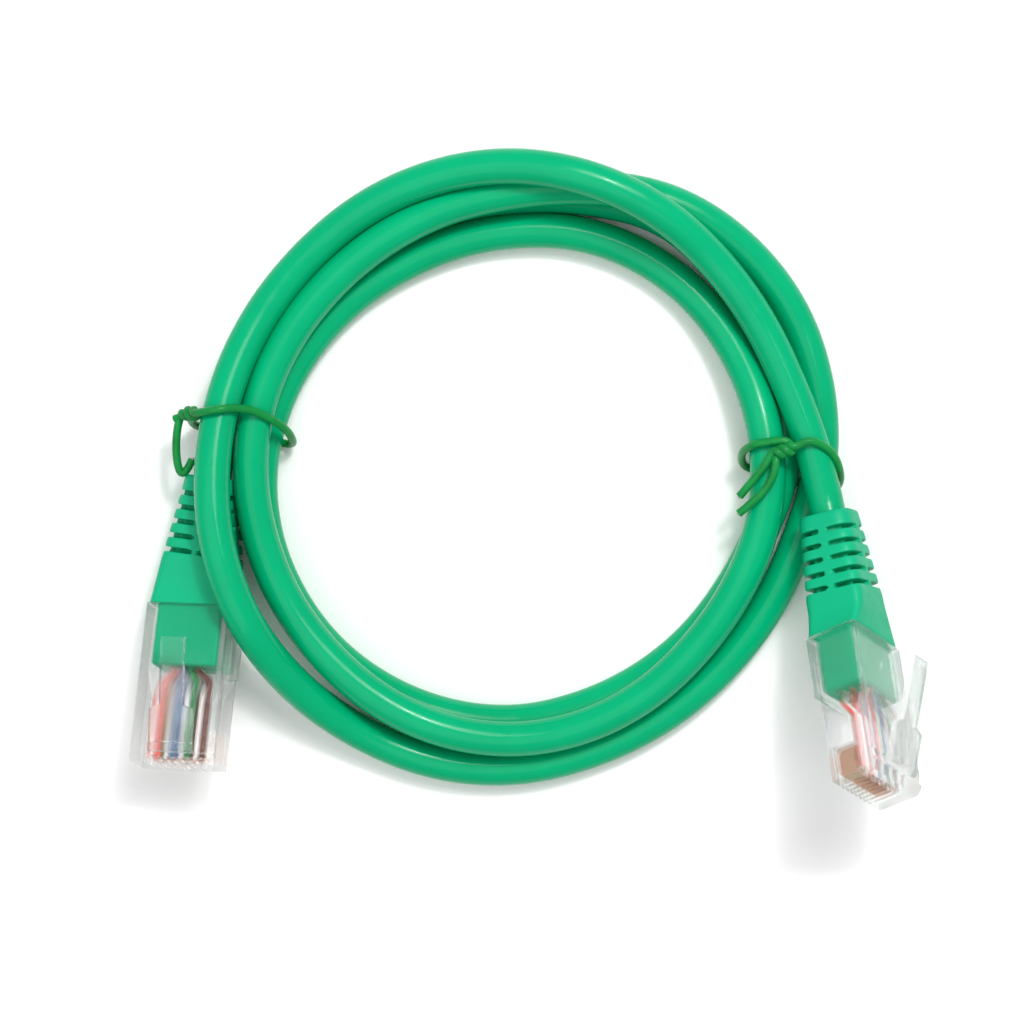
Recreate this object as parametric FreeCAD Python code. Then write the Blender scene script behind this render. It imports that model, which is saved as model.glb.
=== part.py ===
import FreeCAD, Part
import math
import os

Vec = FreeCAD.Vector
X_AXIS = Vec(1, 0, 0)
Y_AXIS = Vec(0, 1, 0)
Z_AXIS = Vec(0, 0, 1)

# Lengths are in millimetres and angles in degrees.
# The coiled cable lies on z = 0. Clock angles are measured clockwise from the -X side, seen from above.

# Cable
CABLE_D = 4.8
COIL_CENTRE = Vec(-0.98, 17.98, 0)
COIL_HEIGHT = 10.4
COIL_EDGE_ROUND = 2.2
# outer and inner edge of the bundle at every 30 degrees of clock angle, starting at the -X side
COIL_OUTER = [43.0, 42.2, 42.6, 42.4, 43.8, 45.4, 43.6, 41.2, 41.2, 43.4, 44.0, 43.8]
COIL_INNER = [32.2, 30.6, 29.3, 29.9, 31.2, 31.2, 31.3, 30.9, 30.8, 31.6, 32.6, 32.9]

# Plug, in its own frame: +Y from the cable end to the nose, +Z from the contact face to the latch face
PLUG_W = 11.68
PLUG_L = 21.46
PLUG_T = 6.6
STEP_L = 8.8
STEP_T = 0.9
WALL = 1.1
NOSE_CHAMFER = 0.9
EDGE_CHAMFER = 0.25
CABLE_Z = 2.85
CAVITY_H = 5.8
CAVITY_L = 9.4
FUNNEL_L = 13.2
CHANNEL_W = 8.5
CHANNEL_H = 1.05
CHANNEL_END = 20.5

# Conductors and contacts
PIN_COUNT = 8
PIN_PITCH = 1.02
WIRE_D = 0.95
CORE_D = 0.5
WIRE_Z = 3.9
WIRE_END = 20.3
BUNDLE_PITCH = 1.05
BLADE_T = 0.3
BLADE_Y = (16.6, 20.6)
BLADE_Z = (0.4, 3.25)
TOOTH_TOP = 3.75
SLOT_W = 0.46
SLOT_START = 16.3
WIRE_NAMES = [
    "white_orange", "orange", "white_green", "blue",
    "white_blue", "green", "white_brown", "brown",
]

# Jacket clamp bar, pressed in through a window in the contact face
CLAMP_W = 6.8
CLAMP_Y = (3.0, 7.4)
CLAMP_T = 0.7
CLAMP_GAP = 0.08

# Latch, hinged at its root near the nose
HINGE_Y = 19.6
HINGE_Z = PLUG_T + 0.55
KNUCKLE_R = 0.8
HINGE_CLEARANCE = 0.06
LATCH_L = 14.5
LATCH_SHOULDER_L = 4.9
LATCH_W = 5.9
LATCH_TAIL_W = 3.2
LATCH_ROOT_T = 0.8
LATCH_TIP_T = 1.0

# Boot
BOOT_L = 18.1
BOOT_INSERT_L = 8.2
BOOT_INSERT_GAP = 0.1
BOOT_STATIONS = [  # distance behind the housing, width, height, corner radius
    (0.0, 11.3, 7.4, 0.9),
    (6.2, 9.7, 8.0, 1.2),
    (16.0, 7.2, 7.6, 2.2),
    (18.1, 6.8, 7.4, 2.4),
]
BOOT_BEND_L = 5.0
BOOT_SEGMENTS = 10
SLOT_COUNT = 5
SLOT_FIRST = 7.8
SLOT_PITCH = 1.95
SLOT_L = 0.8
SLOT_DEPTH = 0.75
SPINE_W = 1.1
BORE_CLEARANCE = 0.05
LEAD_STUB = 2.5
BOOT_ROOM_H = 12.0

# Twist ties: steel wire with a plastic coat
TIE_D = 1.1
TIE_WIRE_D = 0.45
TIE_GAP = 0.25
TIE_BEND = 2.2
TIE_CLOCKS = [9.5, 177.0]


class Pose:
    """Where one plug lies: its contact face's cable-end edge centre, its turns, and the way its boot's tail turns."""

    def __init__(self, name, origin, turns, tail, latch_angle):
        self.name = name
        self.origin = COIL_CENTRE + origin
        self.heading, self.pitch, self.roll = turns
        self.tail_heading, self.tail_pitch, self.tail_twist = tail
        self.latch_angle = latch_angle

    def placement(self):
        turn = level_turn(self.heading, self.pitch).multiply(FreeCAD.Rotation(Y_AXIS, self.roll))
        return FreeCAD.Placement(self.origin, turn)

    def boot_bend(self):
        """The boot's start, the way it leaves the housing, its bend's plane normal, and the bend in radians."""
        start = self.placement().multVec(Vec(0, 0, CABLE_Z))
        leaving = self.placement().Rotation.multVec(-Y_AXIS)
        tail = level_turn(self.tail_heading, self.tail_pitch).multVec(-Y_AXIS)
        return start, leaving, leaving.cross(tail).normalize(), leaving.getAngle(tail)

    def boot_station(self, distance):
        """The frame on the boot's axis at a distance behind the housing. It bends first and then runs straight."""
        start, leaving, normal, bend = self.boot_bend()
        share = min(distance / BOOT_BEND_L, 1)
        radius = BOOT_BEND_L / bend
        inward = normal.cross(leaving)
        turn = FreeCAD.Rotation(normal, math.degrees(bend * share))
        place = start + leaving * (radius * math.sin(bend * share)) + inward * (radius - radius * math.cos(bend * share))
        place += turn.multVec(leaving) * max(distance - BOOT_BEND_L, 0)
        twist = FreeCAD.Rotation(Y_AXIS, self.tail_twist * share)
        return FreeCAD.Placement(place, turn.multiply(self.placement().Rotation).multiply(twist))


def level_turn(heading, pitch):
    """A turn about Z by the heading, after a nose-up pitch."""
    return FreeCAD.Rotation(Z_AXIS, heading).multiply(FreeCAD.Rotation(X_AXIS, pitch))


# The left plug's nose is a little up. The right one is also rolled onto its edge, high in the air.
PLUGS = [
    Pose("left", Vec(-42.7, -19.9, 3.3), turns=(175, 15, 12.7), tail=(172.5, 0, 0), latch_angle=16),
    Pose("right", Vec(42.2, -24.6, 11.8), turns=(184.7, 33, -54.4), tail=(189.7, 12, -8), latch_angle=20),
]


# ---------------------------------------------------------------- basic shapes


def box(x_span, y_span, z_span):
    """A block between two values on each axis."""
    corner = Vec(x_span[0], y_span[0], z_span[0])
    return Part.makeBox(
        x_span[1] - x_span[0], y_span[1] - y_span[0], z_span[1] - z_span[0], corner
    )


def centred(width):
    return (-width / 2, width / 2)


def corner_radius(before, corner, after):
    """The radius that a cord's bend takes: as large as its two runs allow."""
    half_turn = (corner - before).getAngle(after - corner) / 2
    shorter = min(before.distanceToPoint(corner), after.distanceToPoint(corner))
    return 0.45 * shorter / math.tan(half_turn)


def corner_arc(before, corner, after, radius):
    """The tangent arc that rounds one corner of a path: its start, middle and end."""
    back = (before - corner).normalize()
    ahead = (after - corner).normalize()
    half_turn = (math.pi - back.getAngle(ahead)) / 2
    reach = radius * math.tan(half_turn)
    inward = (back + ahead).normalize()
    middle = corner + inward * (radius / math.cos(half_turn) - radius)
    return corner + back * reach, middle, corner + ahead * reach


def path_wire(points, radius=None, largest=math.inf, closed=False):
    """Straight runs joined by tangent arcs. Without a radius, each arc is as large as its runs and a limit allow."""
    count = len(points)
    corners = range(count) if closed else range(1, count - 1)
    edges = []
    cursor = None if closed else points[0]
    first = None
    for i in corners:
        before, corner, after = points[i - 1], points[i], points[(i + 1) % count]
        bend = radius or min(corner_radius(before, corner, after), largest)
        start, middle, end = corner_arc(before, corner, after, bend)
        if cursor is not None and cursor.distanceToPoint(start) > 1e-6:
            edges.append(Part.LineSegment(cursor, start).toShape())
        if first is None:
            first = start
        edges.append(Part.Arc(start, middle, end).toShape())
        cursor = end
    last = first if closed else points[-1]
    if cursor.distanceToPoint(last) > 1e-6:
        edges.append(Part.LineSegment(cursor, last).toShape())
    return Part.Wire(edges)


def tube(points, diameter, radius=None, largest=math.inf):
    """A round tube along a path of runs and arcs."""
    spine = path_wire(points, radius, largest)
    ahead = points[1] - points[0]
    ring = Part.Wire(Part.makeCircle(diameter / 2, points[0], ahead))
    return spine.makePipeShell([ring], True, False), spine.Length


def rounded_section(width, height, corner, placement):
    """A closed rounded rectangle across the frame's Y axis."""
    x, z = width / 2, height / 2
    corners = [Vec(-x, 0, -z), Vec(x, 0, -z), Vec(x, 0, z), Vec(-x, 0, z)]
    wire = path_wire(corners, radius=corner, closed=True)
    wire.Placement = placement
    return wire


def between(stations, distance):
    """Width, height and corner radius at a distance, in proportion between the stations around it."""
    for low, high in zip(stations, stations[1:]):
        if distance <= high[0]:
            share = (distance - low[0]) / (high[0] - low[0])
            return [a + (b - a) * share for a, b in zip(low[1:], high[1:])]
    return list(stations[-1][1:])


def on_coil(clock, reach, height=0.0):
    """A point at a clock angle and a distance from the coil's centre."""
    angle = math.radians(clock)
    return COIL_CENTRE + Vec(-reach * math.cos(angle), reach * math.sin(angle), height)


# ---------------------------------------------------------------- plug pieces


def pin_x(index):
    return (3.5 - index) * PIN_PITCH


def housing():
    """The clear body: cable cavity, funnel, wire channel, contact slots, clamp window and latch seat."""
    body = box(centred(PLUG_W), (0, PLUG_L), (0, PLUG_T))
    step = box(centred(PLUG_W), (0, STEP_L), (-STEP_T, 0))
    body = body.fuse(step).removeSplitter()
    nose_edges = [e for e in body.Edges if e.BoundBox.YMin > PLUG_L - 0.01]
    latch_side = [e for e in nose_edges if e.BoundBox.ZMin > PLUG_T - 0.01]
    body = body.makeChamfer(NOSE_CHAMFER, latch_side)
    long_edges = [e for e in body.Edges if e.BoundBox.YLength > STEP_L - 0.01]
    body = body.makeChamfer(EDGE_CHAMFER, long_edges)

    inner_w = PLUG_W - 2 * WALL
    cavity_z = (CABLE_Z - CAVITY_H / 2, CABLE_Z + CAVITY_H / 2)
    body = body.cut(box(centred(inner_w), (-1, CAVITY_L), cavity_z))
    wide = rounded_section(inner_w, CAVITY_H, 0.3, FreeCAD.Placement(Vec(0, CAVITY_L, CABLE_Z), FreeCAD.Rotation()))
    slim = rounded_section(
        CHANNEL_W, CHANNEL_H, 0.3, FreeCAD.Placement(Vec(0, FUNNEL_L, WIRE_Z), FreeCAD.Rotation())
    )
    body = body.cut(Part.makeLoft([wide, slim], True, True))
    channel_z = (WIRE_Z - CHANNEL_H / 2, WIRE_Z + CHANNEL_H / 2)
    body = body.cut(box(centred(CHANNEL_W), (FUNNEL_L - 0.05, CHANNEL_END), channel_z))

    for index in range(PIN_COUNT):
        x = pin_x(index)
        slot = box((x - SLOT_W / 2, x + SLOT_W / 2), (SLOT_START, PLUG_L + 1), (-1, WIRE_Z))
        body = body.cut(slot)

    window_w = CLAMP_W + 2 * CLAMP_GAP
    window_y = (CLAMP_Y[0] - CLAMP_GAP, CLAMP_Y[1] + CLAMP_GAP)
    body = body.cut(box(centred(window_w), window_y, (-STEP_T - 1, 1)))

    seat = Part.makeCylinder(
        KNUCKLE_R + HINGE_CLEARANCE, PLUG_W, Vec(-PLUG_W / 2, HINGE_Y, HINGE_Z), X_AXIS
    )
    return body.cut(seat)


def latch(angle):
    """The springy tab: a round root, a wide arm and a narrow thumb tail, raised by its rest angle."""
    hinge = Vec(0, HINGE_Y, HINGE_Z)
    root = Part.makeCylinder(KNUCKLE_R, LATCH_W, hinge - X_AXIS * (LATCH_W / 2), X_AXIS)
    side = [
        Vec(0, HINGE_Y, HINGE_Z - LATCH_ROOT_T / 2),
        Vec(0, HINGE_Y - LATCH_L, HINGE_Z - LATCH_TIP_T / 2),
        Vec(0, HINGE_Y - LATCH_L, HINGE_Z + LATCH_TIP_T / 2),
        Vec(0, HINGE_Y, HINGE_Z + LATCH_ROOT_T / 2),
    ]
    profile = Part.Face(Part.makePolygon(side + [side[0]]))
    arm = profile.extrude(X_AXIS * LATCH_W)
    arm.translate(X_AXIS * (-LATCH_W / 2))
    shoulder_y = HINGE_Y - LATCH_SHOULDER_L
    taper = (LATCH_W - LATCH_TAIL_W) / 2
    for way in (-1, 1):
        inner = way * LATCH_TAIL_W / 2
        outer = way * (LATCH_W / 2 + 1)
        corners = [
            Vec(inner, HINGE_Y - LATCH_L - 1, 0),
            Vec(outer, HINGE_Y - LATCH_L - 1, 0),
            Vec(outer, shoulder_y + 1 - taper / 2, 0),
            Vec(inner, shoulder_y - taper / 2, 0),
        ]
        trim = Part.Face(Part.makePolygon(corners + [corners[0]])).extrude(Z_AXIS * 20)
        arm = arm.cut(trim)
    tab = arm.fuse(root).removeSplitter()
    tab.rotate(hinge, X_AXIS, -angle)
    return tab


def contact(index):
    """One gold blade: two teeth pierce the conductor, and the rounded foot meets the jack's spring."""
    low_y, high_y = BLADE_Y
    low_z, high_z = BLADE_Z
    middle_y = (low_y + high_y) / 2
    foot = 0.6
    outline = [
        Vec(0, low_y, low_z + foot),
        Vec(0, low_y + foot, low_z),
        Vec(0, high_y - foot, low_z),
        Vec(0, high_y, low_z + foot),
        Vec(0, high_y, high_z),
        Vec(0, high_y - 0.5, TOOTH_TOP),
        Vec(0, high_y - 1.0, high_z),
        Vec(0, middle_y, high_z - 0.3),
        Vec(0, low_y + 1.0, high_z),
        Vec(0, low_y + 0.5, TOOTH_TOP),
        Vec(0, low_y, high_z),
    ]
    blade = Part.Face(Part.makePolygon(outline + [outline[0]])).extrude(X_AXIS * BLADE_T)
    blade.translate(X_AXIS * (pin_x(index) - BLADE_T / 2))
    return blade


def wire_points(index):
    """A conductor leaves its twisted pair, spreads to its pin, drops into the flat row and ends at the nose."""
    column = index // 2
    start_x = (1.5 - column) * BUNDLE_PITCH
    start_z = CABLE_Z + (index % 2 - 0.5) * (BUNDLE_PITCH + 0.25)
    x = pin_x(index)
    return [
        Vec(start_x, BOOT_INSERT_L, start_z),
        Vec(start_x, BOOT_INSERT_L + 0.5, start_z),
        Vec(x, 10.4, start_z + 0.3),
        Vec(x, 12.6, WIRE_Z),
        Vec(x, WIRE_END, WIRE_Z),
    ]


def conductor(index, blade):
    """The insulation and the copper core of one conductor, both opened by the contact's teeth."""
    points = wire_points(index)
    outer, _ = tube(points, WIRE_D, radius=0.8)
    core, _ = tube(points, CORE_D, radius=0.8)
    return outer.cut(core).cut(blade), core.cut(blade)


def clamp():
    """The bar that the crimp presses in against the cable. Its inner edge is bevelled."""
    bar = box(centred(CLAMP_W), CLAMP_Y, (-CLAMP_T - 0.1, -0.1))
    inner_edge = [
        e for e in bar.Edges if e.BoundBox.YMin > CLAMP_Y[1] - 0.01 and e.BoundBox.ZMin > -0.11
    ]
    return bar.makeChamfer(0.3, inner_edge)


# ---------------------------------------------------------------- boot and cable leads


def boot(pose):
    """The ribbed strain relief: a tapered sleeve with five rows of corner slots and an insert in the housing."""
    sections = []
    for i in range(BOOT_SEGMENTS + 1):
        distance = BOOT_L * i / BOOT_SEGMENTS
        width, height, corner = between(BOOT_STATIONS, distance)
        sections.append(rounded_section(width, height, corner, pose.boot_station(distance)))
    sleeve = Part.makeLoft(sections, True, True)

    inner_w = PLUG_W - 2 * WALL - 2 * BOOT_INSERT_GAP
    insert_h = CAVITY_H - 2 * BOOT_INSERT_GAP
    insert = box(centred(inner_w), (-0.5, BOOT_INSERT_L), centred(insert_h))
    insert.Placement = pose.boot_station(0)
    sleeve = sleeve.fuse(insert)

    for row in range(SLOT_COUNT):
        distance = SLOT_FIRST + SLOT_PITCH * row
        width, height, corner = between(BOOT_STATIONS, distance)
        slab = box(centred(2 * PLUG_W), centred(SLOT_L), centred(2 * PLUG_W))
        slab = slab.cut(box(centred(width - 2 * SLOT_DEPTH), centred(2), centred(height - 2 * SLOT_DEPTH)))
        slab = slab.cut(box(centred(SPINE_W), centred(2), centred(3 * PLUG_W)))
        slab = slab.cut(box(centred(3 * PLUG_W), centred(2), centred(SPINE_W)))
        slab.Placement = pose.boot_station(distance)
        sleeve = sleeve.cut(slab)
    bore, _ = tube(*lead_path(pose, CABLE_D + 2 * BORE_CLEARANCE, extra=1.0))
    return sleeve.cut(bore)


def lead_path(pose, diameter, extra=0.0):
    """Points, diameter and bend radius of the cable's end, from inside the housing to just past the boot."""
    inner = pose.placement().multVec(Vec(0, BOOT_INSERT_L + extra, CABLE_Z))
    tip = pose.boot_station(BOOT_L)
    outer = tip.multVec(Vec(0, -LEAD_STUB, 0))
    start, leaving, _, bend = pose.boot_bend()
    radius = BOOT_BEND_L / bend
    corner = start + leaving * (radius * math.tan(bend / 2))
    return [inner, corner, outer], diameter, radius


def lead(pose):
    """The gently bent end of the jacket, through the boot up to the coil."""
    shape, length = tube(*lead_path(pose, CABLE_D))
    section = math.pi * (CABLE_D / 2) ** 2
    print(f"cable_lead_{pose.name}: volume over section times length {shape.Volume / section / length:.4f}")
    print(f"cable_lead_{pose.name}: bend radius {lead_path(pose, CABLE_D)[2]:.1f}")
    return shape


# ---------------------------------------------------------------- coil and ties


def ring_outline(reaches):
    """A closed smooth line around the coil's centre through one reach for each 30 degrees."""
    step = 360 / len(reaches)
    line = Part.BSplineCurve()
    line.interpolate(Points=[on_coil(i * step, r) for i, r in enumerate(reaches)], PeriodicFlag=True)
    return Part.Wire(line.toShape())


def coil():
    """The closed outer shape of the tied turns, open where the two boots lie and grooved where the ties pass under."""
    disc = Part.Face(ring_outline(COIL_OUTER)).extrude(Z_AXIS * COIL_HEIGHT)
    hole = Part.Face(ring_outline(COIL_INNER)).extrude(Z_AXIS * COIL_HEIGHT)
    ring = disc.cut(hole)
    rims = [e for e in ring.Edges if e.BoundBox.ZLength < 0.01]
    ring = ring.makeFillet(COIL_EDGE_ROUND, rims)
    for pose in PLUGS:
        ring = ring.cut(boot_room(pose))
    for clock in TIE_CLOCKS:
        ring = ring.cut(tie_groove(clock))
    return ring


def boot_room(pose):
    """The space that a plug and its boot take out of the coil. Its end is the face that the cable's end meets."""
    side = PLUG_W / 2 + 0.5
    rear = box((-side, side), (-LEAD_STUB, BOOT_L - BOOT_BEND_L), centred(BOOT_ROOM_H))
    rear.Placement = pose.boot_station(BOOT_L)
    front = box((-side, side), (-1, BOOT_BEND_L + PLUG_L), centred(BOOT_ROOM_H))
    front.Placement = pose.boot_station(BOOT_BEND_L)
    plug = box((-side, side), (-1, PLUG_L), (CABLE_Z - BOOT_ROOM_H / 2, CABLE_Z + BOOT_ROOM_H / 2))
    plug.Placement = pose.placement()
    return rear.fuse(front).fuse(plug)


def tie_groove(clock):
    """A shallow groove across the coil's underside, where the tie passes."""
    groove = box((-60, -20), centred(2 * TIE_D), (-1, TIE_D + 2 * TIE_GAP))
    groove.Placement = FreeCAD.Placement(COIL_CENTRE, FreeCAD.Rotation(Z_AXIS, -clock))
    return groove


def coil_reach(reaches, clock):
    """The outline's reach at a clock angle, in proportion between its two nearest points."""
    step = 360 / len(reaches)
    low = int(clock // step)
    share = clock / step - low
    return reaches[low] * (1 - share) + reaches[(low + 1) % len(reaches)] * share


def tie_frame(clock):
    """A tie's frame: +X outward from the coil's centre, +Y along the turns, +Z up."""
    rotation = FreeCAD.Rotation(Z_AXIS, 180 - clock)
    return FreeCAD.Placement(COIL_CENTRE, rotation)


def tie_points(clock, tails):
    """A tie's path: one tail, once round the bundle, and the other tail. The two ends lie side by side."""
    margin = TIE_GAP + TIE_D / 2
    inner = coil_reach(COIL_INNER, clock) - margin - 0.2
    outer = coil_reach(COIL_OUTER, clock) + margin + 0.3
    top = COIL_HEIGHT + margin
    low = TIE_D / 2
    first, second = tails(inner, outer, top)
    around = [
        Vec(outer, 0.0, low),
        Vec(inner, 0.0, low),
        Vec(inner, -0.2, top),
    ]
    return first + around + second


def left_tails(inner, outer, top):
    """The left tie is twisted outside the coil: a hooked tail hangs there, and a short end points up."""
    hook = [
        Vec(outer - 0.2, 7.2, 8.4),
        Vec(outer + 1.0, 8.6, 7.8),
        Vec(outer + 2.2, 5.4, 6.9),
        Vec(outer + 1.2, 0.6, 6.1),
        Vec(outer, 0.7, 4.6),
    ]
    spike = [
        Vec(outer, -0.3, top),
        Vec(outer + 0.2, -0.6, 7.2),
        Vec(outer + 3.0, -0.4, 6.6),
    ]
    return hook, spike


def right_tails(inner, outer, top):
    """The right tie is twisted on top of the coil, and both cut ends lie across the inner turns."""
    middle = (inner + outer) / 2
    first = [
        Vec(middle - 7.8, -5.6, top + 0.3),
        Vec(middle - 5.0, -2.6, top + 0.9),
        Vec(middle - 1.2, -0.9, top + 0.7),
        Vec(outer, -0.2, top),
    ]
    second = [
        Vec(middle + 0.6, 1.3, top + 0.9),
        Vec(middle + 0.4, -0.9, top + 2.6),
        Vec(middle - 4.6, -3.8, top + 2.3),
        Vec(middle - 7.8, -7.9, top + 1.2),
    ]
    return first, second


def tie(clock, tails):
    """The plastic coat and the steel wire in it."""
    frame = tie_frame(clock)
    points = [frame.multVec(p) for p in tie_points(clock, tails)]
    outer, length = tube(points, TIE_D, largest=TIE_BEND)
    core, _ = tube(points, TIE_WIRE_D, largest=TIE_BEND)
    section = math.pi * (TIE_D / 2) ** 2
    print(f"tie: volume over section times length {outer.Volume / section / length:.4f}")
    return outer.cut(core), core


# ---------------------------------------------------------------- assembly


def plug_pieces(pose):
    """Every piece of one plug, in place, by node name."""
    place = pose.placement()
    pieces = {
        "housing": housing(),
        "latch": latch(pose.latch_angle),
        "jacket_clamp": clamp(),
    }
    cores = []
    for index, colour in enumerate(WIRE_NAMES):
        blade = contact(index)
        insulation, core = conductor(index, blade)
        pieces[f"contact_{index + 1}"] = blade
        pieces[f"wire_{colour}"] = insulation
        cores.append(core)
    pieces["copper_cores"] = Part.makeCompound(cores)
    for shape in pieces.values():
        shape.Placement = place.multiply(shape.Placement)
    pieces["boot"] = boot(pose)
    return {f"{pose.name}_{name}": shape for name, shape in pieces.items()}


def main():
    os.makedirs("parts", exist_ok=True)
    nodes = {"cable_coil": coil()}
    for pose in PLUGS:
        nodes.update(plug_pieces(pose))
        nodes[f"cable_lead_{pose.name}"] = lead(pose)
    for name, clock, tails in zip(("left", "right"), TIE_CLOCKS, (left_tails, right_tails)):
        nodes[f"{name}_tie_coat"], nodes[f"{name}_tie_wire"] = tie(clock, tails)
    for name, shape in sorted(nodes.items()):
        shape.exportStep(f"parts/{name}.step")
    print(len(nodes), "nodes")


main()
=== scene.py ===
import math

import bpy
from mathutils import Matrix, Vector


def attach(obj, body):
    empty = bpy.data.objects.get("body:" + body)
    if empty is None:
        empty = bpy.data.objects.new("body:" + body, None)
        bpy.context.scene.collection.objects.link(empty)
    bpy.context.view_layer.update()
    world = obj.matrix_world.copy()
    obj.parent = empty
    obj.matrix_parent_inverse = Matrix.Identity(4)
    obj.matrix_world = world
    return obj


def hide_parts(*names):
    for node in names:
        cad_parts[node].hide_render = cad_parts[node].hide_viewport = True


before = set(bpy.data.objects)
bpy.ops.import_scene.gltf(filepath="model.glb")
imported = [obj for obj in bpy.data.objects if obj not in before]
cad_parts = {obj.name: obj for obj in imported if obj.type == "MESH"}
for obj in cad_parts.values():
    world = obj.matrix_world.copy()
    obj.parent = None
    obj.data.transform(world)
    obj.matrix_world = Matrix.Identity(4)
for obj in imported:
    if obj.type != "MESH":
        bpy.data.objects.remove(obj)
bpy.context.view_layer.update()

# Sizes are in millimetres and angles in degrees, and become metres as they enter Blender.
# Clock angles go clockwise from the -X side of the coil, seen from above.
MM = 0.001
COIL_CENTRE = Vector((-0.98, 17.98, 0))

# ---------------------------------------------------------------- camera

CAMERA_OFFSET = Vector((-0.7, -5.9, 0))
CAMERA_H = 400
CAMERA_LENS = 102.66
SENSOR_W = 36
NEAR_CLIP = 10


def add_camera():
    """The camera looks straight down on the coil."""
    data = bpy.data.cameras.new("camera")
    data.lens = CAMERA_LENS
    data.sensor_width = SENSOR_W
    data.clip_start = NEAR_CLIP * MM
    camera = bpy.data.objects.new("camera", data)
    camera.location = (COIL_CENTRE + CAMERA_OFFSET + Vector((0, 0, CAMERA_H))) * MM
    bpy.context.collection.objects.link(camera)
    bpy.context.scene.camera = camera


add_camera()

# ---------------------------------------------------------------- plug poses, as in the CAD part

CABLE_D = 4.8
CABLE_Z = 2.85
INSERT_L = 8.2
INSERT_W = 9.28
INSERT_H = 5.6
BOOT_L = 18.1
BEND_L = 5.0
BOOT_STATIONS = [  # distance behind the housing, width, height, corner radius
    (0.0, 11.3, 7.4, 0.9),
    (6.2, 9.7, 8.0, 1.2),
    (16.0, 7.2, 7.6, 2.2),
    (18.1, 6.8, 7.4, 2.4),
]


def turn(axis, degrees):
    return Matrix.Rotation(math.radians(degrees), 4, axis)


class Pose:
    """Where one plug lies, and the way its boot's tail turns."""

    def __init__(self, name, origin, turns, tail):
        heading, pitch, roll = turns
        tail_heading, tail_pitch, self.tail_twist = tail
        self.name = name
        turned = turn("Z", heading) @ turn("X", pitch) @ turn("Y", roll)
        self.plug = Matrix.Translation(COIL_CENTRE + Vector(origin)) @ turned
        self.turned = self.plug.to_quaternion().to_matrix().to_4x4()
        self.start = self.plug @ Vector((0, 0, CABLE_Z))
        self.leaving = self.turned @ Vector((0, -1, 0))
        self.tail = turn("Z", tail_heading) @ turn("X", tail_pitch) @ Vector((0, -1, 0))
        self.normal = self.leaving.cross(self.tail).normalized()
        self.bend = self.leaving.angle(self.tail)
        self.radius = BEND_L / self.bend

    def station(self, distance):
        """The frame on the boot's axis at a distance behind the housing.

        The axis bends first and then runs straight.
        """
        share = min(distance / BEND_L, 1)
        angle = self.bend * share
        inward = self.normal.cross(self.leaving)
        turned = Matrix.Rotation(angle, 4, self.normal)
        place = self.start + self.leaving * (self.radius * math.sin(angle))
        place += inward * (self.radius - self.radius * math.cos(angle))
        place += (turned @ self.leaving) * max(distance - BEND_L, 0)
        return Matrix.Translation(place) @ turned @ self.turned @ turn("Y", self.tail_twist * share)

    def corner(self):
        """Where the lines of the housing and of the boot's straight part would meet."""
        return self.start + self.leaving * (self.radius * math.tan(self.bend / 2))


LEFT = Pose("left", (-42.7, -19.9, 3.3), turns=(175, 15, 12.7), tail=(172.5, 0, 0))
RIGHT = Pose("right", (42.2, -24.6, 11.8), turns=(184.7, 33, -54.4), tail=(189.7, 12, -8))

# ---------------------------------------------------------------- shader helpers

# the mix node has sockets of the same name for numbers and colours, so these are found by their index
MIX_SHARE = 0
MIX_FIRST_COLOUR = 6
MIX_SECOND_COLOUR = 7
MIX_COLOUR_OUT = 2


class Shader:
    """A material around one Principled shader, with short ways to add texture."""

    def __init__(self, name, colour, rough, **sockets):
        self.material = bpy.data.materials.new(name)
        self.material.use_nodes = True
        self.tree = self.material.node_tree
        self.bsdf = self.tree.nodes["Principled BSDF"]
        self.bsdf.inputs["Base Color"].default_value = (*colour, 1)
        self.bsdf.inputs["Roughness"].default_value = rough
        for key, value in sockets.items():
            self.bsdf.inputs[key.replace("_", " ")].default_value = value
        self.place = self.node("ShaderNodeTexCoord").outputs["Object"]

    def node(self, kind, inputs=None, **settings):
        made = self.tree.nodes.new(kind)
        for key, value in settings.items():
            setattr(made, key, value)
        for key, value in (inputs or {}).items():
            if isinstance(value, bpy.types.NodeSocket):
                self.tree.links.new(value, made.inputs[key])
            else:
                made.inputs[key].default_value = value
        return made

    def link(self, output, socket):
        self.tree.links.new(output, self.bsdf.inputs[socket])

    def noise(self, size, detail=2):
        """Noise with features of about one size in millimetres, and finer ones for more detail."""
        inputs = {"Vector": self.place, "Scale": 1 / (size * MM), "Detail": detail}
        return self.node("ShaderNodeTexNoise", inputs).outputs["Fac"]

    def ranged(self, value, low, high, start=0.3, end=0.7):
        """A value's range from start to end, spread over low to high. Most noise is from 0.3 to 0.7."""
        inputs = {"Value": value, "From Min": start, "From Max": end, "To Min": low, "To Max": high}
        return self.node("ShaderNodeMapRange", inputs).outputs["Result"]

    def mixed(self, share, first, second):
        """A colour between two, each a colour or another node's output."""
        made = self.node("ShaderNodeMix", data_type="RGBA")
        for index, value in ((MIX_SHARE, share), (MIX_FIRST_COLOUR, first), (MIX_SECOND_COLOUR, second)):
            if isinstance(value, bpy.types.NodeSocket):
                self.tree.links.new(value, made.inputs[index])
            else:
                made.inputs[index].default_value = (*value, 1)
        return made.outputs[MIX_COLOUR_OUT]

    def bump(self, *layers):
        """Bump from pairs of a height and its depth in millimetres, one on the other."""
        normal = None
        for height, depth in layers:
            inputs = {"Height": height, "Distance": depth * MM, "Strength": 1.0}
            if normal is not None:
                inputs["Normal"] = normal
            normal = self.node("ShaderNodeBump", inputs).outputs["Normal"]
        self.link(normal, "Normal")


def varied(colour, factor):
    """A colour made darker or brighter by a factor."""
    return tuple(min(channel * factor, 1) for channel in colour)


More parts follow.
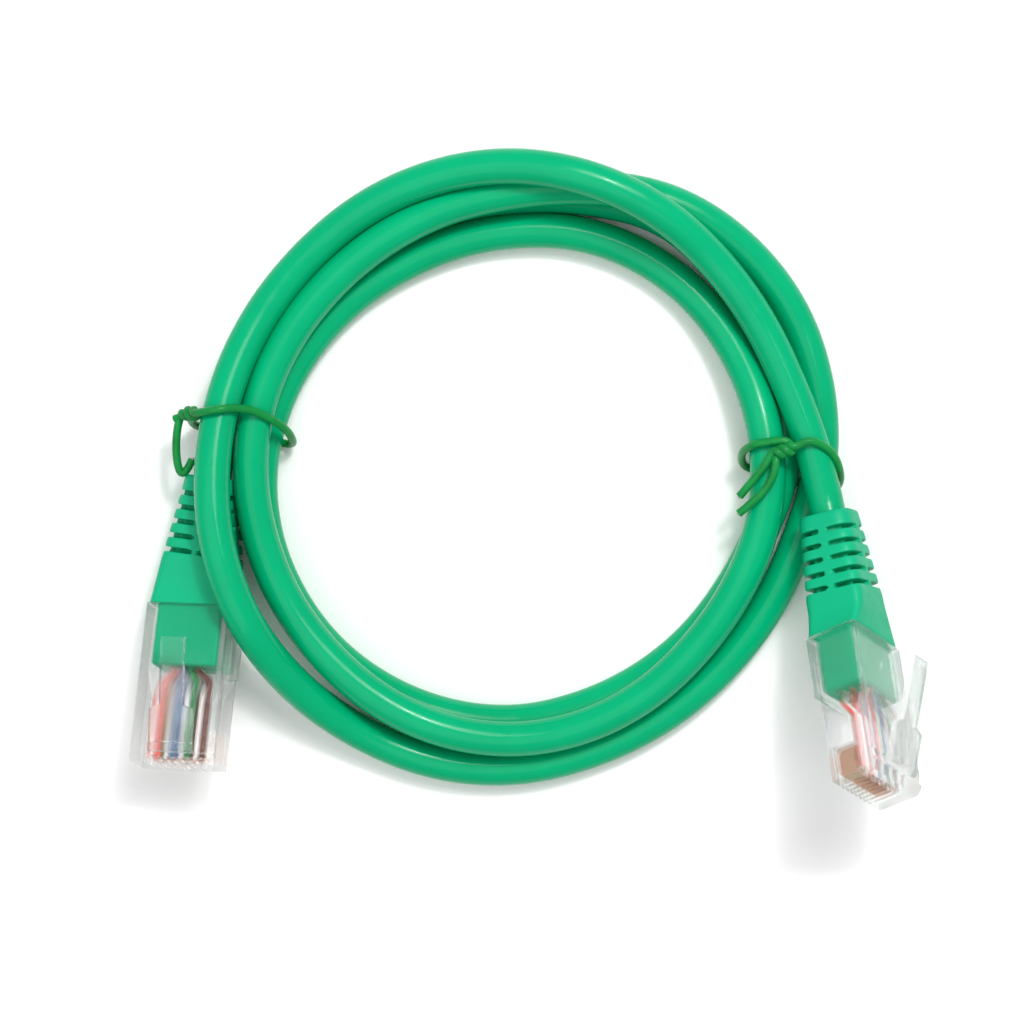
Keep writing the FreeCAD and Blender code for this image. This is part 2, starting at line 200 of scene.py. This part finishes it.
WAVE_SIZE = 4.0
GLOSS_PATCHES = 5
LESS_ROUGH = 0.05
MORE_ROUGH = 0.07


def moulded(name, colour, rough, spread, grain, grain_depth, patch=9.0, wave=0.0, **sockets):
    """Soft or hard plastic: cloudy colour, uneven gloss, and a fine moulded grain.

    The spread is the share that the colour varies by. Patch and grain are the sizes of the clouds and
    the grain, and grain depth and wave are heights, all in millimetres. Gloss varies in smaller patches.
    """
    shader = Shader(name, colour, rough, **sockets)
    cloud = shader.ranged(shader.noise(patch, 3), 0, 1)
    shader.link(shader.mixed(cloud, varied(colour, 1 - spread), varied(colour, 1 + spread)), "Base Color")
    gloss = shader.ranged(shader.noise(patch / GLOSS_PATCHES, 4), rough - LESS_ROUGH, rough + MORE_ROUGH)
    shader.link(gloss, "Roughness")
    layers = [(shader.noise(grain), grain_depth)]
    if wave:
        layers.insert(0, (shader.noise(WAVE_SIZE, 1), wave))
    shader.bump(*layers)
    return shader.material


# ---------------------------------------------------------------- materials

JACKET_GREEN = (0.0, 0.385, 0.162)
BOOT_GREEN = (0.003, 0.41, 0.2)
TIE_GREEN = (0.006, 0.24, 0.05)

jacket = moulded(
    "jacket", JACKET_GREEN, 0.16, spread=0.05, grain=0.25, grain_depth=0.001, wave=0.03,
    Specular_IOR_Level=0.15,
)
boot_pvc = moulded(
    "boot_pvc", BOOT_GREEN, 0.4, spread=0.04, grain=0.15, grain_depth=0.006, Specular_IOR_Level=0.16,
)
tie_coat = moulded(
    "tie_coat", TIE_GREEN, 0.3, spread=0.18, grain=0.3, grain_depth=0.01, patch=2.5,
    Specular_IOR_Level=0.18,
)

CLEAR_IOR = 1.46
CLEAR_ALPHA = 0.5
HAZE_PATCH = 3.0
HAZE_START = 0.45
HAZE_END = 0.75
HAZE_ROUGH = 0.03
RIPPLE_SIZE = 2.2
RIPPLE_DEPTH = 0.012
CLEAR_GRAIN = 0.5
CLEAR_GRAIN_DEPTH = 0.001


def clear_plastic(name, colour, rough):
    """Injection moulded polycarbonate, with faint flow ripples and a few hazy patches."""
    shader = Shader(name, colour, rough, Transmission_Weight=1.0, IOR=CLEAR_IOR, Alpha=CLEAR_ALPHA)
    haze = shader.ranged(shader.noise(HAZE_PATCH, 3), rough, rough + HAZE_ROUGH, HAZE_START, HAZE_END)
    shader.link(haze, "Roughness")
    ripple = (shader.noise(RIPPLE_SIZE, 1), RIPPLE_DEPTH)
    grain = (shader.noise(CLEAR_GRAIN), CLEAR_GRAIN_DEPTH)
    shader.bump(ripple, grain)
    return shader.material


housing_clear = clear_plastic("housing_clear", (0.975, 0.985, 0.98), 0.015)
latch_clear = clear_plastic("latch_clear", (0.965, 0.985, 0.975), 0.05)
clamp_clear = clear_plastic("clamp_clear", (0.95, 0.97, 0.965), 0.12)

TARNISH_PATCH = 0.8
TARNISH_DARKEST = 0.88
TARNISH_BRIGHTEST = 1.08
SCUFF_PATCH = 0.3
SCUFF_ROUGH = 0.14
METAL_GRAIN_DEPTH = 0.0015


def metal(name, colour, rough, grain):
    """Bright metal, uneven in colour and gloss, with a fine grain of a size in millimetres."""
    shader = Shader(name, colour, rough, Metallic=1.0)
    tarnish = shader.ranged(shader.noise(TARNISH_PATCH), 0, 1)
    dark, bright = varied(colour, TARNISH_DARKEST), varied(colour, TARNISH_BRIGHTEST)
    shader.link(shader.mixed(tarnish, dark, bright), "Base Color")
    shader.link(shader.ranged(shader.noise(SCUFF_PATCH, 3), rough, rough + SCUFF_ROUGH), "Roughness")
    shader.bump((shader.noise(grain, 1), METAL_GRAIN_DEPTH))
    return shader.material


gold = metal("gold", (0.98, 0.56, 0.4), 0.36, 0.4)
copper = metal("copper", (0.82, 0.38, 0.2), 0.25, 0.15)
steel = metal("steel", (0.55, 0.56, 0.56), 0.3, 0.12)

INSULATION = {
    "orange": (0.9, 0.13, 0.1),
    "green": (0.02, 0.24, 0.07),
    "blue": (0.12, 0.22, 0.4),
    "brown": (0.15, 0.05, 0.035),
}
WHITE_INSULATION = (0.98, 0.93, 0.92)
INSULATION_SMOOTHEST = 0.25
INSULATION_ROUGHEST = 0.4
INSULATION_GLOSS_PATCH = 0.6
INSULATION_PATCH = 1.5
INSULATION_SPREAD = 0.15
INSULATION_GRAIN = 0.4
INSULATION_GRAIN_DEPTH = 0.004
STRIPE_START = 0.45
STRIPE_END = 0.6
# the way that the stripes face at each plug, across the plug and up from it
STRIPE_WAYS = {"left": (0.8, 0, 0.6), "right": (0.8, 0, -0.6)}


def insulation(name, colour, stripe_way=None):
    """Satin conductor insulation in its colour.

    With a stripe way, it is white, and only the side that faces that way has the colour.
    """
    shader = Shader(name, colour, INSULATION_SMOOTHEST)
    if stripe_way:
        normal = shader.node("ShaderNodeNewGeometry").outputs["Normal"]
        facing = shader.node("ShaderNodeVectorMath", {0: normal, 1: stripe_way}, operation="DOT_PRODUCT")
        edge = shader.ranged(facing.outputs["Value"], 0, 1, STRIPE_START, STRIPE_END)
        base = shader.mixed(edge, WHITE_INSULATION, colour)
    else:
        cloud = shader.ranged(shader.noise(INSULATION_PATCH), 0, 1)
        dark, bright = varied(colour, 1 - INSULATION_SPREAD), varied(colour, 1 + INSULATION_SPREAD)
        base = shader.mixed(cloud, dark, bright)
    shader.link(base, "Base Color")
    gloss = shader.noise(INSULATION_GLOSS_PATCH)
    shader.link(shader.ranged(gloss, INSULATION_SMOOTHEST, INSULATION_ROUGHEST), "Roughness")
    shader.bump((shader.noise(INSULATION_GRAIN), INSULATION_GRAIN_DEPTH))
    return shader.material


# ---------------------------------------------------------------- materials on the CAD nodes

PIN_COUNT = 8


def dress(obj, material):
    obj.data.materials.clear()
    obj.data.materials.append(material)


def dress_nodes():
    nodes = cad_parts
    for pose in (LEFT, RIGHT):
        side = pose.name
        stripe_way = tuple(pose.turned @ Vector(STRIPE_WAYS[side]))
        dress(nodes[f"{side}_housing"], housing_clear)
        dress(nodes[f"{side}_latch"], latch_clear)
        dress(nodes[f"{side}_jacket_clamp"], clamp_clear)
        dress(nodes[f"{side}_copper_cores"], copper)
        for pin in range(1, PIN_COUNT + 1):
            dress(nodes[f"{side}_contact_{pin}"], gold)
        for name, colour in INSULATION.items():
            dress(nodes[f"{side}_wire_{name}"], insulation(f"{side}_{name}", colour))
            striped = insulation(f"{side}_white_{name}", colour, stripe_way)
            dress(nodes[f"{side}_wire_white_{name}"], striped)


dress_nodes()

# ---------------------------------------------------------------- cable

# The cable's middle line: for each turn, reach from the coil's centre and height above the table.
CLOCK_STEP = 15
TURNS = [
    [  # from the left boot down onto the table, inside
        (None, None), (40.0, 4.2), (38.4, 2.9), (37.1, 2.4), (36.6, 2.4), (36.6, 2.4),
        (36.9, 2.4), (38.0, 2.4), (39.6, 2.4), (38.9, 2.4), (38.3, 2.7), (37.3, 3.5),
        (36.1, 3.5), (34.1, 2.7), (33.3, 2.4), (33.2, 2.4), (33.3, 2.4), (33.7, 2.4),
        (34.5, 2.4), (34.9, 2.4), (35.2, 2.4), (35.5, 2.4), (35.5, 2.4), (35.4, 2.8),
    ],
    [  # innermost, then up onto the first turn
        (34.9, 3.5), (33.9, 3.5), (33.1, 2.8), (32.4, 2.4), (31.8, 2.4), (31.9, 2.4),
        (32.3, 2.4), (33.1, 2.4), (33.5, 2.4), (33.7, 2.6), (33.6, 4.1), (33.6, 6.4),
        (33.7, 7.6), (33.8, 7.6), (33.7, 7.2), (34.0, 7.2), (35.0, 6.9), (35.9, 6.7),
        (36.5, 6.8), (36.6, 6.9), (36.3, 7.1), (35.9, 7.2), (35.8, 7.2), (35.7, 7.6),
    ],
    [  # on top, then down outside and up towards the left plug
        (35.8, 8.1), (35.7, 8.0), (35.4, 7.3), (35.3, 7.0), (35.6, 7.1), (36.3, 7.2),
        (37.1, 7.3), (39.0, 7.2), (41.5, 6.8), (42.6, 5.4), (43.1, 3.1), (42.2, 3.5),
        (41.1, 3.5), (39.3, 2.7), (38.8, 2.4), (38.7, 2.4), (39.0, 2.4), (39.6, 2.4),
        (40.7, 2.4), (41.4, 2.4), (41.6, 3.0), (41.8, 6.8), (41.5, 12.8), (41.1, 13.1),
    ],
    [  # over the left boot and across the top to the right boot
        (40.5, 11.8), (40.2, 9.9), (40.0, 8.1), (40.0, 7.0), (40.4, 7.6), (40.4, 9.7),
        (40.2, 11.1), (39.5, 12.2), (38.9, 11.1), (38.2, 8.3), (37.8, 7.6), (38.1, 7.8),
    ],
]
# the control points lie a little outside the line that they pull round
CONTROL_ALLOWANCE = 1 / math.cos(math.radians(CLOCK_STEP / 2))
# distances behind the housing of the points in the boot's straight part, and how far the next is past it
STRAIGHT_RUN = (9, 14)
PAST_BOOT = 2.5
CORD_ORDER = 3
CORD_BEVEL = 8
CABLE_STEPS = 12
# the last point before the right boot
LAST_CLOCK = 175
LAST_REACH = 39.6
LAST_HEIGHT = 8.1


def coil_point(clock, reach, height):
    """A point at a clock angle, a reach from the coil's centre and a height."""
    angle = math.radians(clock)
    return COIL_CENTRE + Vector((-reach * math.cos(angle), reach * math.sin(angle), height))


def boot_run(pose):
    """The cable's points from inside the housing to just past the boot."""
    inner = pose.plug @ Vector((0, INSERT_L, CABLE_Z))
    middle = pose.plug @ Vector((0, INSERT_L / 2, CABLE_Z))
    straight = [pose.station(distance).translation for distance in (*STRAIGHT_RUN, BOOT_L)]
    return [inner, middle, pose.corner(), *straight, straight[-1] + pose.tail * PAST_BOOT]


def cable_points():
    points = boot_run(LEFT)
    for turn_points in TURNS:
        for index, (reach, height) in enumerate(turn_points):
            if reach is not None:
                points.append(coil_point(index * CLOCK_STEP, reach * CONTROL_ALLOWANCE, height))
    points.append(coil_point(LAST_CLOCK, LAST_REACH, LAST_HEIGHT))
    return points + boot_run(RIGHT)[::-1]


def nurbs(name, points, diameter, material, steps):
    """A round cord along control points, with a number of steps between them."""
    curve = bpy.data.curves.new(name, "CURVE")
    curve.dimensions = "3D"
    spline = curve.splines.new("NURBS")
    spline.points.add(len(points) - 1)
    for control, point in zip(spline.points, points):
        control.co = (*(point * MM), 1)
    spline.order_u = CORD_ORDER
    spline.use_endpoint_u = True
    spline.resolution_u = steps
    curve.bevel_depth = diameter / 2 * MM
    curve.bevel_resolution = CORD_BEVEL
    curve.use_fill_caps = True
    curve.materials.append(material)
    obj = bpy.data.objects.new(name, curve)
    bpy.context.collection.objects.link(obj)
    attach(obj, "root")
    return obj


def add_cable():
    points = cable_points()
    cable = nurbs("cable", points, CABLE_D, jacket, CABLE_STEPS)
    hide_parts("cable_coil", "cable_lead_left", "cable_lead_right")


add_cable()

# ---------------------------------------------------------------- boots

SLOT_COUNT = 5
SLOT_FIRST = 7.8
SLOT_PITCH = 1.95
SLOT_HALF = 0.3
SLOT_FLOOR_R = 2.6
SLOT_DEPTH = 2.1
CORNER_SLOT_DEPTH = 1.3
SLOT_EDGE = 0.05
SPINE_HALF = 0.55
SLOT_END_ROUND = 0.4
SLOT_END_STEEPNESS = 1.5
RIB_ROUND = 0.3
SIDE_POINTS = 9
CORNER_POINTS = 9
RING_STEP = 0.45
RINGS_NEAR_SLOT = (0, 0.12, 0.2, 0.24, 0.27, 0.3, 0.33, 0.37, 0.43, 0.55)
RIM_ROUND = 0.35
RIM_STEPS = 5
BORE_R = 2.45
BORE_SEEN = 1.5
MOUTH_BEVEL = 0.12
INSERT_CORNER = 0.6
INSERT_MOUTH_BEVEL = 0.1
INSERT_FRONT_BORE = 0.8
# distances ahead of the housing's back, and how far in from its full size the insert is there
INSERT_PROFILE = (
    (INSERT_L, 0.35), (INSERT_L - 0.1, 0.1), (INSERT_L - 0.35, 0), (4.0, 0), (0.3, 0), (0.02, 0),
)
# distances behind the housing's back, and how far in the rounded shoulder is there
SHOULDER_PROFILE = ((0.02, 0.25), (0.06, 0.1), (0.2, 0.02))


def smooth(value):
    """A smooth step from 0 to 1."""
    value = min(max(value, 0), 1)
    return value * value * (3 - 2 * value)


def between_stations(distance):
    """Width, height and corner radius at a distance, in proportion between the stations around it."""
    for low, high in zip(BOOT_STATIONS, BOOT_STATIONS[1:]):
        if distance <= high[0]:
            share = (distance - low[0]) / (high[0] - low[0])
            return [a + (b - a) * share for a, b in zip(low[1:], high[1:])]
    return list(BOOT_STATIONS[-1][1:])


def quarter(width, height, corner):
    """Points and outward directions from the middle of the +X side to the middle of the +Z side."""
    x, z = width / 2, height / 2
    made = []
    for i in range(SIDE_POINTS):
        made.append((x, (z - corner) * i / SIDE_POINTS, 1, 0))
    for i in range(CORNER_POINTS + 1):
        angle = math.radians(90 * i / CORNER_POINTS)
        c, s = math.cos(angle), math.sin(angle)
        made.append((x - corner + corner * c, z - corner + corner * s, c, s))
    for i in range(1, SIDE_POINTS + 1):
        made.append(((x - corner) * (1 - i / SIDE_POINTS), z, 0, 1))
    return made


def section(width, height, corner):
    """A rounded rectangle's points with their outward directions, the same count for every size."""
    first = quarter(width, height, corner)
    second = [(-x, z, -nx, nz) for x, z, nx, nz in reversed(first)]
    third = [(-x, -z, -nx, -nz) for x, z, nx, nz in first]
    fourth = [(x, -z, nx, -nz) for x, z, nx, nz in reversed(first)]
    return first[:-1] + second[:-1] + third[:-1] + fourth[:-1]


def slot_share(distance, x, z):
    """How deep in a slot a point of the surface is, from 0 to 1.

    The slots leave a spine along the middle of each side.
    """
    from_spine = min(abs(x), abs(z)) - SPINE_HALF
    if from_spine <= 0:
        return 0
    row = round((distance - SLOT_FIRST) / SLOT_PITCH)
    row = min(max(row, 0), SLOT_COUNT - 1)
    off = abs(distance - SLOT_FIRST - SLOT_PITCH * row)
    end = min(from_spine / SLOT_END_ROUND, 1)
    half = SLOT_HALF * math.sqrt(1 - (1 - end) ** 2)
    return smooth((half + SLOT_EDGE - off) / (2 * SLOT_EDGE)) * min(half / SLOT_HALF * SLOT_END_STEEPNESS, 1)


def rib_inset(distance, x, z):
    """How far a rib's edges are rounded off towards the slots beside it."""
    place = (distance - SLOT_FIRST) / SLOT_PITCH
    if not -0.5 < place < SLOT_COUNT - 0.5:
        return 0
    from_slot = abs(place - round(place))
    edge = max(1 - 2 * from_slot, 0) ** 3
    return RIB_ROUND * edge * smooth((min(abs(x), abs(z)) - SPINE_HALF) / SLOT_END_ROUND)


def sleeve_distances():
    """Distances behind the housing where the sleeve gets a ring: even steps, with close ones at the slots."""
    made = {round(RING_STEP * i, 3) for i in range(1, int((BOOT_L - RIM_ROUND) / RING_STEP) + 1)}
    for row in range(SLOT_COUNT):
        for off in RINGS_NEAR_SLOT:
            for way in (-1, 1):
                made.add(round(SLOT_FIRST + SLOT_PITCH * row + off * way, 3))
    return sorted(made)


def moved_ahead(at, distance):
    """A frame moved towards the plug's nose."""
    return at @ Matrix.Translation((0, distance, 0))


def ring(at, points, inset):
    """One ring of the boot in a frame, moved inward by an inset."""
    return [at @ Vector((x - nx * inset, 0, z - nz * inset)) for x, z, nx, nz in points]


def sleeve_ring(at, points, distance):
    """One ring of the ribbed sleeve. In a slot, points go in towards the bore."""
    placed = []
    for x, z, nx, nz in points:
        inset = rib_inset(distance, x, z)
        outer = Vector((x - nx * inset, 0, z - nz * inset))
        depth = SLOT_DEPTH - (SLOT_DEPTH - CORNER_SLOT_DEPTH) * 2 * abs(nx * nz)
        floor = outer.normalized() * max(SLOT_FLOOR_R, outer.length - depth)
        placed.append(at @ outer.lerp(floor, slot_share(distance, x, z)))
    return placed


def circle(at, radius, points):
    """A round ring with one point in the direction of each of a section's points."""
    placed = []
    for x, z, _, _ in points:
        size = math.hypot(x, z)
        placed.append(at @ Vector((x / size * radius, 0, z / size * radius)))
    return placed


def insert_rings(pose):
    """From inside the front of the insert's bore, over its front edge and back to the housing's back."""
    points = section(INSERT_W, INSERT_H, INSERT_CORNER)
    at = pose.station(0)
    rings = [circle(moved_ahead(at, INSERT_L - INSERT_FRONT_BORE), BORE_R, points)]
    rings.append(circle(moved_ahead(at, INSERT_L - INSERT_MOUTH_BEVEL), BORE_R, points))
    rings.append(circle(moved_ahead(at, INSERT_L), BORE_R + INSERT_MOUTH_BEVEL, points))
    return rings + [ring(moved_ahead(at, ahead), points, inset) for ahead, inset in INSERT_PROFILE]


def sleeve_rings(pose):
    """The shoulder against the housing and the ribbed sleeve."""
    base = section(*between_stations(0))
    rings = [ring(pose.station(distance), base, inset) for distance, inset in SHOULDER_PROFILE]
    for distance in sleeve_distances():
        points = section(*between_stations(distance))
        rings.append(sleeve_ring(pose.station(distance), points, distance))
    return rings


def rim_rings(pose):
    """The rounded rim at the sleeve's end, and the part of the bore that shows."""
    end = section(*between_stations(BOOT_L))
    rings = []
    for step in range(1, RIM_STEPS + 1):
        angle = math.radians(90 * step / RIM_STEPS)
        distance = BOOT_L - RIM_ROUND + RIM_ROUND * math.sin(angle)
        rings.append(ring(pose.station(distance), end, RIM_ROUND * (1 - math.cos(angle))))
    rings.append(circle(pose.station(BOOT_L), BORE_R + MOUTH_BEVEL, end))
    rings.append(circle(pose.station(BOOT_L - MOUTH_BEVEL), BORE_R, end))
    rings.append(circle(pose.station(BOOT_L - BORE_SEEN), BORE_R, end))
    return rings


def mesh_from_rings(name, rings, material):
    """A closed mesh skinned over rings of equal counts, with a flat face at each end."""
    count = len(rings[0])
    verts = [point * MM for points in rings for point in points]
    faces = []
    for row in range(len(rings) - 1):
        for i in range(count):
            j = (i + 1) % count
            faces.append((row * count + i, row * count + j, (row + 1) * count + j, (row + 1) * count + i))
    faces.append(tuple(reversed(range(count))))
    faces.append(tuple(range((len(rings) - 1) * count, len(rings) * count)))
    mesh = bpy.data.meshes.new(name)
    mesh.from_pydata(verts, [], faces)
    mesh.validate()
    mesh.polygons.foreach_set("use_smooth", [True] * len(mesh.polygons))
    mesh.materials.append(material)
    obj = bpy.data.objects.new(name, mesh)
    bpy.context.collection.objects.link(obj)
    return obj


def add_boots():
    for pose in (LEFT, RIGHT):
        rings = insert_rings(pose) + sleeve_rings(pose) + rim_rings(pose)
        boot = mesh_from_rings(f"{pose.name}_boot_sleeve", rings, boot_pvc)
        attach(boot, "root")
        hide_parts(f"{pose.name}_boot")


add_boots()

# ---------------------------------------------------------------- twist ties

TIE_D = 1.1
TIE_STEPS = 6
TIE_WIRE_D = 0.45
TIE_WIRE_STEPS = 4
WIRE_SHOWS = 0.25
TWIST_R = 0.52
TWIST_STEPS = 8

# Each tie's points are in millimetres from the coil's centre. Its wire runs from the tip of the first
# tail through the twist, round the bundle, back through the twist and out to the tip of the second tail.
# The twist goes from its end at the bundle to its end at the tails, and each tail goes on from there.
TIES = {
    "left": {
        "twist": ((-42.7, 7.2, 11.4), (-44.4, 7.3, 9.4)),
        "turns": 1.0,
        "around": [
            (-41.4, 7.4, 13.3), (-39.3, 7.7, 14.1), (-36.9, 8.0, 12.4), (-33.9, 7.2, 10.9),
            (-30.9, 5.2, 8.2), (-30.3, 3.7, 4.6), (-30.8, 3.3, 0.9), (-33.5, 3.8, 0.6),
            (-41.0, 5.2, 0.6), (-43.7, 5.8, 1.3), (-44.0, 6.2, 4.5), (-43.9, 6.6, 8.0),
        ],
        "first_tail": [
            (-44.9, 7.4, 9.0), (-45.6, 5.6, 8.3), (-45.9, 2.3, 7.6),
            (-45.5, -0.6, 7.1), (-44.6, -0.7, 7.0), (-43.7, 1.2, 7.0),
        ],
        "second_tail": [(-44.9, 6.9, 9.0), (-45.9, 6.6, 8.4)],
    },
    "right": {
        "twist": ((36.8, 2.7, 11.4), (34.2, 1.8, 11.5)),
        "turns": 1.25,
        "around": [
            (38.3, 3.5, 11.3), (40.0, 3.5, 11.1), (42.4, 1.9, 9.7), (43.7, -1.0, 6.6),
            (43.7, -2.6, 2.2), (42.4, -2.8, 0.6), (37.0, -1.4, 0.6), (31.6, 0.0, 0.65),
            (30.5, 0.9, 2.6), (30.2, 2.2, 7.0), (31.4, 3.1, 10.1), (33.6, 3.5, 10.9), (35.8, 3.7, 11.2),
        ],
        "first_tail": [(33.3, 0.8, 11.2), (32.4, -0.5, 10.8), (31.5, -1.6, 10.5), (29.7, -3.8, 9.8)],
        "second_tail": [(34.4, 0.4, 11.7), (34.0, -1.4, 11.4), (32.6, -3.6, 10.8), (29.6, -6.1, 9.9)],
    },
}


def twist_strand(ends, turns, phase):
    """One strand's points round the twist's axis, from its first end to its second."""
    start, end = Vector(ends[0]), Vector(ends[1])
    along = (end - start).normalized()
    up = Vector((0, 0, 1)) - along * along.z
    up.normalize()
    side = along.cross(up)
    points = []
    for step in range(TWIST_STEPS + 1):
        share = step / TWIST_STEPS
        angle = math.radians(360 * turns * share + phase)
        outward = up * math.cos(angle) + side * math.sin(angle)
        points.append(start + (end - start) * share + outward * TWIST_R)
    return points


def tie_path(plan):
    """A tie's whole path, from the end of its first tail to the end of its second."""
    first = twist_strand(plan["twist"], plan["turns"], 0)
    second = twist_strand(plan["twist"], plan["turns"], 180)
    path = [Vector(p) for p in plan["first_tail"][::-1]] + first[::-1]
    path += [Vector(p) for p in plan["around"]] + second
    path += [Vector(p) for p in plan["second_tail"]]
    return [COIL_CENTRE + p for p in path]


def add_ties():
    for side, plan in TIES.items():
        path = tie_path(plan)
        coat = nurbs(f"{side}_tie_coating", path, TIE_D, tie_coat, TIE_STEPS)
        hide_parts(f"{side}_tie_coat")
        start = path[0] + (path[0] - path[1]).normalized() * WIRE_SHOWS
        end = path[-1] + (path[-1] - path[-2]).normalized() * WIRE_SHOWS
        core = nurbs(f"{side}_tie_core", [start, *path, end], TIE_WIRE_D, steel, TIE_WIRE_STEPS)
        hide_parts(f"{side}_tie_wire")


add_ties()

# ---------------------------------------------------------------- floor, light and world

# the lights' places and sizes and the floor's size are in metres
FLOOR_SIZE = 4
FLOOR_COLOUR = (0.96, 0.96, 0.96)
FLOOR_ROUGH = 0.6
KEY_PLACE = (0.16, 0.32, 0.62)
KEY_SIZE = 0.3
KEY_POWER = 2.3
GLINT_SIZE = 0.08
GLINT_POWER = 1.4
FILL_PLACE = (-0.3, -0.15, 0.7)
FILL_SIZE = 0.9
FILL_POWER = 2.7
WORLD_LIGHT = 0.43


def add_floor():
    bpy.ops.mesh.primitive_plane_add(size=FLOOR_SIZE, location=(0, 0, 0))
    floor = bpy.context.object
    floor.name = "floor"
    surface = moulded(
        "floor", FLOOR_COLOUR, FLOOR_ROUGH, spread=0.01, grain=0.5, grain_depth=0.002, patch=40,
    )
    dress(floor, surface)


def add_light(name, place, size, power):
    """A square light that faces the coil. A small one gives a narrow bright line on the glossy jacket."""
    data = bpy.data.lights.new(name, "AREA")
    data.shape = "SQUARE"
    data.size = size
    data.energy = power
    light = bpy.data.objects.new(name, data)
    light.location = place
    light.rotation_euler = (COIL_CENTRE * MM - Vector(place)).to_track_quat("-Z", "Y").to_euler()
    bpy.context.collection.objects.link(light)


def add_world():
    world = bpy.data.worlds.new("studio")
    bpy.context.scene.world = world
    world.use_nodes = True
    background = world.node_tree.nodes["Background"]
    background.inputs["Color"].default_value = (1, 1, 1, 1)
    background.inputs["Strength"].default_value = WORLD_LIGHT


add_floor()
add_light("key", KEY_PLACE, KEY_SIZE, KEY_POWER)
add_light("glint", KEY_PLACE, GLINT_SIZE, GLINT_POWER)
add_light("fill", FILL_PLACE, FILL_SIZE, FILL_POWER)
add_world()
bpy.context.scene.view_settings.view_transform = "Standard"
